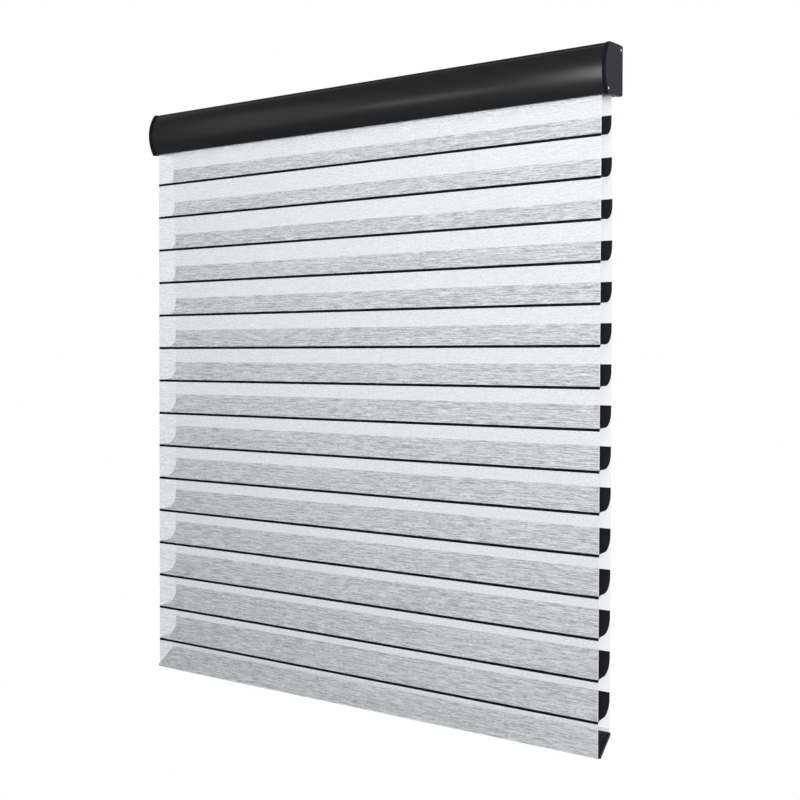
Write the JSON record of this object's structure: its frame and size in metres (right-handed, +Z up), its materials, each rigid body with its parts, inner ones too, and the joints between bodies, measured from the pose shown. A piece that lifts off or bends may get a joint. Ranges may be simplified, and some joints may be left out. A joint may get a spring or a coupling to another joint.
{
  "type": "vaned sheer roller shade",
  "caption": "Roller shade in a closed head cassette: two white sheers carry curved black vanes that tilt, above a sloping flat bottom rail; the fabric winds up on a motor tube.",
  "frame": {"origin": "centre of the four wall screw holes in the two mounting brackets, on the wall's face", "axes": "+X along the width, to the right seen from the room; +Y into the wall; +Z up; the front looks towards -Y"},
  "size_m": [1.1186, 0.0796, 1.2818],
  "materials": {
    "powder_black": "satin charcoal powder coat",
    "cap_black": "fine matte moulded plastic",
    "zinc_screws": "bright zinc",
    "zinc_steel": "zinc-plated spring steel",
    "tube_aluminium": "mill finish extrusion",
    "motor_shell": "plain grey tube",
    "motor_plastic": "moulded nylon",
    "button_plastic": "light grey button",
    "strip_plastic": "extruded plastic strip",
    "white_sheer": "white slub polyester sheer",
    "black_vane": "black woven polyester"
  },
  "bodies": {
    "cassette": {"head_rail": "powder_black", "front_fascia": "powder_black", "left_end_cap": "cap_black", "right_end_cap": "cap_black", "end_cap_screws": "zinc_screws", "left_bracket": "zinc_steel", "right_bracket": "zinc_steel", "latch_rivets": "zinc_steel", "motor_head": "motor_plastic", "motor_case": "motor_shell", "idler_pin": "zinc_steel", "front_lead": "white_sheer", "back_sheer": "white_sheer", "back_weld_01": "black_vane"},
    "roller": {"roller_tube": "tube_aluminium", "tube_strips": "strip_plastic", "motor_shaft": "zinc_steel", "drive_crown": "motor_plastic", "idler_plug": "motor_plastic", "wound_fabric": "white_sheer"},
    "setting_button": {"setting_button": "button_plastic"},
    "left_latch": {"left_latch": "zinc_steel"},
    "right_latch": {"right_latch": "zinc_steel"},
    "rear_hem": {"back_hem": "white_sheer"},
    "bottom_rail": {"bottom_rail": "powder_black", "left_rail_cap": "cap_black", "right_rail_cap": "cap_black", "hem_rods": "strip_plastic"},
    "front_sheer": {"front_sheer": "white_sheer", "front_weld_lines": "black_vane"},
    "vane_01": {"vane_01": "black_vane"},
    "vane_02": {"vane_02": "black_vane"},
    "back_weld_02": {"back_weld_02": "black_vane"},
    "vane_03": {"vane_03": "black_vane"},
    "back_weld_03": {"back_weld_03": "black_vane"},
    "vane_04": {"vane_04": "black_vane"},
    "back_weld_04": {"back_weld_04": "black_vane"},
    "vane_05": {"vane_05": "black_vane"},
    "back_weld_05": {"back_weld_05": "black_vane"},
    "vane_06": {"vane_06": "black_vane"},
    "back_weld_06": {"back_weld_06": "black_vane"},
    "vane_07": {"vane_07": "black_vane"},
    "back_weld_07": {"back_weld_07": "black_vane"},
    "vane_08": {"vane_08": "black_vane"},
    "back_weld_08": {"back_weld_08": "black_vane"},
    "vane_09": {"vane_09": "black_vane"},
    "back_weld_09": {"back_weld_09": "black_vane"},
    "vane_10": {"vane_10": "black_vane"},
    "back_weld_10": {"back_weld_10": "black_vane"},
    "vane_11": {"vane_11": "black_vane"},
    "back_weld_11": {"back_weld_11": "black_vane"},
    "vane_12": {"vane_12": "black_vane"},
    "back_weld_12": {"back_weld_12": "black_vane"},
    "vane_13": {"vane_13": "black_vane"},
    "back_weld_13": {"back_weld_13": "black_vane"},
    "vane_14": {"vane_14": "black_vane"},
    "back_weld_14": {"back_weld_14": "black_vane"},
    "vane_15": {"vane_15": "black_vane"},
    "back_weld_15": {"back_weld_15": "black_vane"}
  },
  "joints": [
    {"name": "rail_lift", "type": "slide", "parent": "cassette", "child": "rear_hem", "axis": [0, 0, 1], "range_m": [0, 1.03], "deforming": ["front_sheer", "front_weld_lines", "back_sheer"]},
    {"name": "rail_tilt", "type": "hinge", "parent": "rear_hem", "child": "bottom_rail", "pos_m": [0, -0.00835, -1.211], "axis": [-1, 0, 0], "range_deg": [-45, 0], "deforming": ["front_lead"]},
    {"name": "tube_turn", "type": "hinge", "parent": "cassette", "child": "roller", "pos_m": [0, -0.0393, -0.017], "axis": [1, 0, 0], "range_deg": [0, 2310]},
    {"name": "button_press", "type": "slide", "parent": "cassette", "child": "setting_button", "axis": [0, 0, 1], "range_m": [0, 0.0008], "stiffness_N_per_m": 200},
    {"name": "left_latch_turn", "type": "hinge", "parent": "cassette", "child": "left_latch", "pos_m": [-0.41, -0.0026, -0.019], "axis": [0, 1, 0], "range_deg": [0, 90]},
    {"name": "right_latch_turn", "type": "hinge", "parent": "cassette", "child": "right_latch", "pos_m": [0.41, -0.0026, -0.019], "axis": [0, 1, 0], "range_deg": [0, 90]},
    {"name": "vane_tilt_01", "type": "hinge", "parent": "cassette", "child": "vane_01", "pos_m": [0, -0.0086, -0.096], "axis": [-1, 0, 0], "range_deg": [-45.5, 0.5], "deforming": ["vane_01"]},
    {"name": "vane_lift_02", "type": "slide", "parent": "cassette", "child": "back_weld_02", "axis": [0, 0, 1], "range_m": [0, 0.0703]},
    {"name": "vane_tilt_02", "type": "hinge", "parent": "back_weld_02", "child": "vane_02", "pos_m": [0, -0.0086, -0.171], "axis": [-1, 0, 0], "range_deg": [-45.5, 0.5], "deforming": ["vane_02"]},
    {"name": "vane_lift_03", "type": "slide", "parent": "cassette", "child": "back_weld_03", "axis": [0, 0, 1], "range_m": [0, 0.1396]},
    {"name": "vane_tilt_03", "type": "hinge", "parent": "back_weld_03", "child": "vane_03", "pos_m": [0, -0.0086, -0.246], "axis": [-1, 0, 0], "range_deg": [-45.5, 0.5], "deforming": ["vane_03"]},
    {"name": "vane_lift_04", "type": "slide", "parent": "cassette", "child": "back_weld_04", "axis": [0, 0, 1], "range_m": [0, 0.2088]},
    {"name": "vane_tilt_04", "type": "hinge", "parent": "back_weld_04", "child": "vane_04", "pos_m": [0, -0.0086, -0.321], "axis": [-1, 0, 0], "range_deg": [-45.5, 0.5], "deforming": ["vane_04"]},
    {"name": "vane_lift_05", "type": "slide", "parent": "cassette", "child": "back_weld_05", "axis": [0, 0, 1], "range_m": [0, 0.2781]},
    {"name": "vane_tilt_05", "type": "hinge", "parent": "back_weld_05", "child": "vane_05", "pos_m": [0, -0.0086, -0.396], "axis": [-1, 0, 0], "range_deg": [-45.5, 0.5], "deforming": ["vane_05"]},
    {"name": "vane_lift_06", "type": "slide", "parent": "cassette", "child": "back_weld_06", "axis": [0, 0, 1], "range_m": [0, 0.3474]},
    {"name": "vane_tilt_06", "type": "hinge", "parent": "back_weld_06", "child": "vane_06", "pos_m": [0, -0.0086, -0.471], "axis": [-1, 0, 0], "range_deg": [-45.5, 0.5], "deforming": ["vane_06"]},
    {"name": "vane_lift_07", "type": "slide", "parent": "cassette", "child": "back_weld_07", "axis": [0, 0, 1], "range_m": [0, 0.4167]},
    {"name": "vane_tilt_07", "type": "hinge", "parent": "back_weld_07", "child": "vane_07", "pos_m": [0, -0.0086, -0.546], "axis": [-1, 0, 0], "range_deg": [-45.5, 0.5], "deforming": ["vane_07"]},
    {"name": "vane_lift_08", "type": "slide", "parent": "cassette", "child": "back_weld_08", "axis": [0, 0, 1], "range_m": [0, 0.486]},
    {"name": "vane_tilt_08", "type": "hinge", "parent": "back_weld_08", "child": "vane_08", "pos_m": [0, -0.0086, -0.621], "axis": [-1, 0, 0], "range_deg": [-45.5, 0.5], "deforming": ["vane_08"]},
    {"name": "vane_lift_09", "type": "slide", "parent": "cassette", "child": "back_weld_09", "axis": [0, 0, 1], "range_m": [0, 0.5553]},
    {"name": "vane_tilt_09", "type": "hinge", "parent": "back_weld_09", "child": "vane_09", "pos_m": [0, -0.0086, -0.696], "axis": [-1, 0, 0], "range_deg": [-45.5, 0.5], "deforming": ["vane_09"]},
    {"name": "vane_lift_10", "type": "slide", "parent": "cassette", "child": "back_weld_10", "axis": [0, 0, 1], "range_m": [0, 0.6245]},
    {"name": "vane_tilt_10", "type": "hinge", "parent": "back_weld_10", "child": "vane_10", "pos_m": [0, -0.0086, -0.771], "axis": [-1, 0, 0], "range_deg": [-45.5, 0.5], "deforming": ["vane_10"]},
    {"name": "vane_lift_11", "type": "slide", "parent": "cassette", "child": "back_weld_11", "axis": [0, 0, 1], "range_m": [0, 0.6938]},
    {"name": "vane_tilt_11", "type": "hinge", "parent": "back_weld_11", "child": "vane_11", "pos_m": [0, -0.0086, -0.846], "axis": [-1, 0, 0], "range_deg": [-45.5, 0.5], "deforming": ["vane_11"]},
    {"name": "vane_lift_12", "type": "slide", "parent": "cassette", "child": "back_weld_12", "axis": [0, 0, 1], "range_m": [0, 0.7631]},
    {"name": "vane_tilt_12", "type": "hinge", "parent": "back_weld_12", "child": "vane_12", "pos_m": [0, -0.0086, -0.921], "axis": [-1, 0, 0], "range_deg": [-45.5, 0.5], "deforming": ["vane_12"]},
    {"name": "vane_lift_13", "type": "slide", "parent": "cassette", "child": "back_weld_13", "axis": [0, 0, 1], "range_m": [0, 0.8324]},
    {"name": "vane_tilt_13", "type": "hinge", "parent": "back_weld_13", "child": "vane_13", "pos_m": [0, -0.0086, -0.996], "axis": [-1, 0, 0], "range_deg": [-45.5, 0.5], "deforming": ["vane_13"]},
    {"name": "vane_lift_14", "type": "slide", "parent": "cassette", "child": "back_weld_14", "axis": [0, 0, 1], "range_m": [0, 0.9017]},
    {"name": "vane_tilt_14", "type": "hinge", "parent": "back_weld_14", "child": "vane_14", "pos_m": [0, -0.0086, -1.071], "axis": [-1, 0, 0], "range_deg": [-45.5, 0.5], "deforming": ["vane_14"]},
    {"name": "vane_lift_15", "type": "slide", "parent": "cassette", "child": "back_weld_15", "axis": [0, 0, 1], "range_m": [0, 0.971]},
    {"name": "vane_tilt_15", "type": "hinge", "parent": "back_weld_15", "child": "vane_15", "pos_m": [0, -0.0086, -1.146], "axis": [-1, 0, 0], "range_deg": [-45.5, 0.5], "deforming": ["vane_15"]},
    {"name": "front_sheer_swing", "type": "hinge", "parent": "vane_01", "child": "front_sheer", "pos_m": [0, -0.062, -0.1383], "axis": [-1, 0, 0], "range_deg": [-0.5, 45.5]}
  ],
  "couplings": [
    {"joint": "tube_turn", "follows": "rail_lift", "rad_per_m": 39.062},
    {"joint": "vane_tilt_01", "follows": "rail_tilt", "ratio": 1},
    {"joint": "vane_lift_02", "follows": "rail_lift", "ratio": 0.067265},
    {"joint": "vane_tilt_02", "follows": "rail_tilt", "ratio": 1},
    {"joint": "vane_lift_03", "follows": "rail_lift", "ratio": 0.13453},
    {"joint": "vane_tilt_03", "follows": "rail_tilt", "ratio": 1},
    {"joint": "vane_lift_04", "follows": "rail_lift", "ratio": 0.20179},
    {"joint": "vane_tilt_04", "follows": "rail_tilt", "ratio": 1},
    {"joint": "vane_lift_05", "follows": "rail_lift", "ratio": 0.26906},
    {"joint": "vane_tilt_05", "follows": "rail_tilt", "ratio": 1},
    {"joint": "vane_lift_06", "follows": "rail_lift", "ratio": 0.33632},
    {"joint": "vane_tilt_06", "follows": "rail_tilt", "ratio": 1},
    {"joint": "vane_lift_07", "follows": "rail_lift", "ratio": 0.40359},
    {"joint": "vane_tilt_07", "follows": "rail_tilt", "ratio": 1},
    {"joint": "vane_lift_08", "follows": "rail_lift", "ratio": 0.47085},
    {"joint": "vane_tilt_08", "follows": "rail_tilt", "ratio": 1},
    {"joint": "vane_lift_09", "follows": "rail_lift", "ratio": 0.53812},
    {"joint": "vane_tilt_09", "follows": "rail_tilt", "ratio": 1},
    {"joint": "vane_lift_10", "follows": "rail_lift", "ratio": 0.60538},
    {"joint": "vane_tilt_10", "follows": "rail_tilt", "ratio": 1},
    {"joint": "vane_lift_11", "follows": "rail_lift", "ratio": 0.67265},
    {"joint": "vane_tilt_11", "follows": "rail_tilt", "ratio": 1},
    {"joint": "vane_lift_12", "follows": "rail_lift", "ratio": 0.73991},
    {"joint": "vane_tilt_12", "follows": "rail_tilt", "ratio": 1},
    {"joint": "vane_lift_13", "follows": "rail_lift", "ratio": 0.80717},
    {"joint": "vane_tilt_13", "follows": "rail_tilt", "ratio": 1},
    {"joint": "vane_lift_14", "follows": "rail_lift", "ratio": 0.87444},
    {"joint": "vane_tilt_14", "follows": "rail_tilt", "ratio": 1},
    {"joint": "vane_lift_15", "follows": "rail_lift", "ratio": 0.9417},
    {"joint": "vane_tilt_15", "follows": "rail_tilt", "ratio": 1},
    {"joint": "front_sheer_swing", "follows": "rail_tilt", "ratio": -1}
  ]
}
